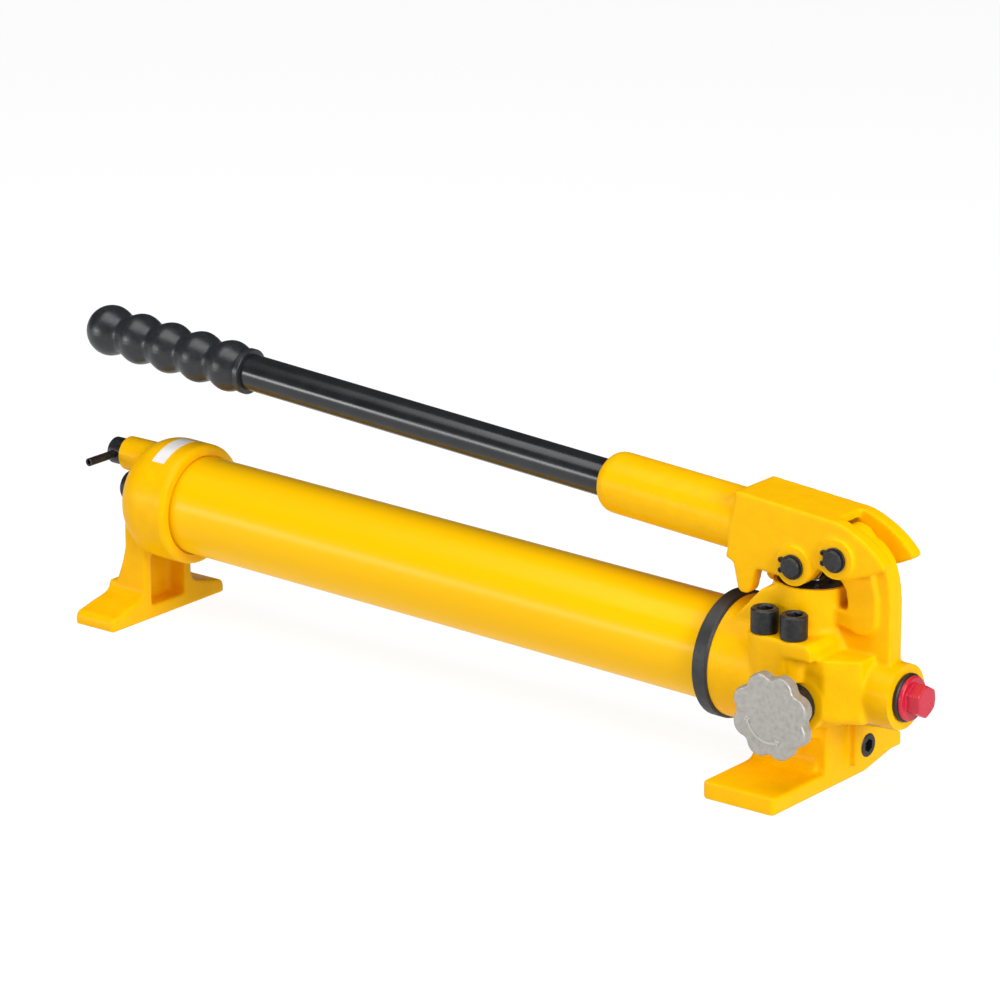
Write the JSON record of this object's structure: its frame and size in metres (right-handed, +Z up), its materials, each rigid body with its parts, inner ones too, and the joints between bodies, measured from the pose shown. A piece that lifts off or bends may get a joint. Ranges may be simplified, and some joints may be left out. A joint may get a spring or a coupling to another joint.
{
  "type": "hydraulic hand pump",
  "caption": "Two-speed hydraulic hand pump: lever-driven plunger head, long oil tank, release knob, vent screw, plugged outlet and cast feet.",
  "frame": {"origin": "on the floor, straight below the axis of the pump plunger", "axes": "+Z up; +X from the plunger to the outlet port, so the tank and handle run towards -X; the release valve's knob faces -Y"},
  "size_m": [0.6074, 0.119, 0.1874],
  "materials": {
    "cast_yellow": "gloss paint over cast iron",
    "tube_yellow": "gloss paint over steel tube",
    "handle_black": "gloss black paint",
    "satin_black": "satin black",
    "grip_rubber": "matt moulded rubber",
    "black_oxide": "black oxide",
    "plain_steel": "turned steel",
    "polished_steel": "ground and polished",
    "spring_steel": "drawn wire",
    "knob_cast": "die-cast, dull",
    "plug_red": "moulded red plastic",
    "seal_rubber": "black nitrile rubber",
    "seal_washer": "copper washer",
    "brass_mesh": "woven brass",
    "white_plastic": "white PTFE"
  },
  "bodies": {
    "pump_frame": {"pump_head": "cast_yellow", "tank_ring": "satin_black", "reservoir_tube": "tube_yellow", "rear_cap": "cast_yellow", "front_tank_seal": "seal_rubber", "rear_tank_seal": "seal_rubber", "tie_rod": "plain_steel", "tie_rod_nut": "black_oxide", "tie_rod_washer": "seal_washer", "suction_tube": "plain_steel", "suction_strainer": "brass_mesh", "cylinder_gland": "black_oxide", "gland_seal": "seal_rubber", "rod_wiper": "seal_rubber", "high_pressure_seal": "seal_rubber", "high_pressure_backup_ring": "white_plastic", "suction_spring": "spring_steel", "suction_spring_stop": "plain_steel", "discharge_seat": "plain_steel", "discharge_spring": "spring_steel", "discharge_base_plug": "black_oxide", "gallery_plug": "black_oxide", "relief_adjuster": "black_oxide", "relief_spring": "spring_steel", "unloading_adjuster": "black_oxide", "unloading_spring": "spring_steel", "release_gland": "black_oxide"},
    "lever": {"lever_head": "cast_yellow", "handle_tube": "handle_black", "handle_grip": "grip_rubber", "handle_set_screw": "black_oxide", "fulcrum_pin": "black_oxide", "plunger_pin": "black_oxide", "fulcrum_pin_circlips": "black_oxide", "plunger_pin_circlips": "black_oxide"},
    "plunger": {"plunger": "polished_steel", "piston_seal": "seal_rubber", "piston_backup_ring": "white_plastic", "high_pressure_plunger": "polished_steel"},
    "release_seals": {"spindle_o_ring": "seal_rubber", "spindle_backup_ring": "white_plastic"},
    "release_valve": {"release_spindle": "plain_steel", "release_ball": "polished_steel", "release_knob": "knob_cast", "knob_set_screw": "black_oxide"},
    "vent_seal": {"vent_o_ring": "seal_rubber"},
    "vent_valve": {"vent_screw": "black_oxide", "vent_cross_pin": "black_oxide"},
    "outlet_closure": {"outlet_plug": "plug_red", "outlet_plug_seal": "seal_rubber"},
    "suction_check": {"suction_ball": "polished_steel"},
    "discharge_check": {"discharge_ball": "polished_steel"},
    "relief_valve": {"relief_poppet": "polished_steel"},
    "unloading_valve": {"unloading_poppet": "polished_steel"}
  },
  "joints": [
    {"name": "lever_pivot", "type": "hinge", "parent": "pump_frame", "child": "lever", "pos_m": [0.0276, 0, 0.1393], "axis": [0, 1, 0], "range_deg": [0, 48]},
    {"name": "plunger_slide", "type": "slide", "parent": "pump_frame", "child": "plunger", "axis": [0, 0, 1], "range_m": [0, 0.024]},
    {"name": "release_lift", "type": "slide", "parent": "pump_frame", "child": "release_seals", "axis": [0, -1, 0], "range_m": [0, 0.00225]},
    {"name": "release_turn", "type": "hinge", "parent": "release_seals", "child": "release_valve", "pos_m": [0.0115, -0.04, 0.056], "axis": [0, -1, 0], "range_deg": [0, 541]},
    {"name": "vent_lift", "type": "slide", "parent": "pump_frame", "child": "vent_seal", "axis": [-1, 0, 0], "range_m": [0, 0.0025]},
    {"name": "vent_turn", "type": "hinge", "parent": "vent_seal", "child": "vent_valve", "pos_m": [-0.508, 0, 0.0965], "axis": [-1, 0, 0], "range_deg": [0, 721]},
    {"name": "outlet_plug_removal", "type": "slide", "parent": "pump_frame", "child": "outlet_closure", "axis": [1, 0, 0], "range_m": [0, 0.04]},
    {"name": "suction_ball_lift", "type": "slide", "parent": "pump_frame", "child": "suction_check", "axis": [0, 0, 1], "range_m": [0, 0.0012], "deforming": ["suction_spring"]},
    {"name": "discharge_ball_lift", "type": "slide", "parent": "pump_frame", "child": "discharge_check", "axis": [0, 0, 1], "range_m": [0, 0.0012], "deforming": ["discharge_spring"]},
    {"name": "relief_poppet_lift", "type": "slide", "parent": "pump_frame", "child": "relief_valve", "axis": [0, 0, 1], "range_m": [0, 0.0008], "deforming": ["relief_spring"]},
    {"name": "unloading_poppet_lift", "type": "slide", "parent": "pump_frame", "child": "unloading_valve", "axis": [0, 0, 1], "range_m": [0, 0.0008], "deforming": ["unloading_spring"]}
  ],
  "couplings": [
    {"joint": "plunger_slide", "follows": "lever_pivot", "m_per_rad": 0.0284},
    {"joint": "release_turn", "follows": "release_lift", "rad_per_m": 4188.8},
    {"joint": "vent_turn", "follows": "vent_lift", "rad_per_m": 5026.5}
  ]
}
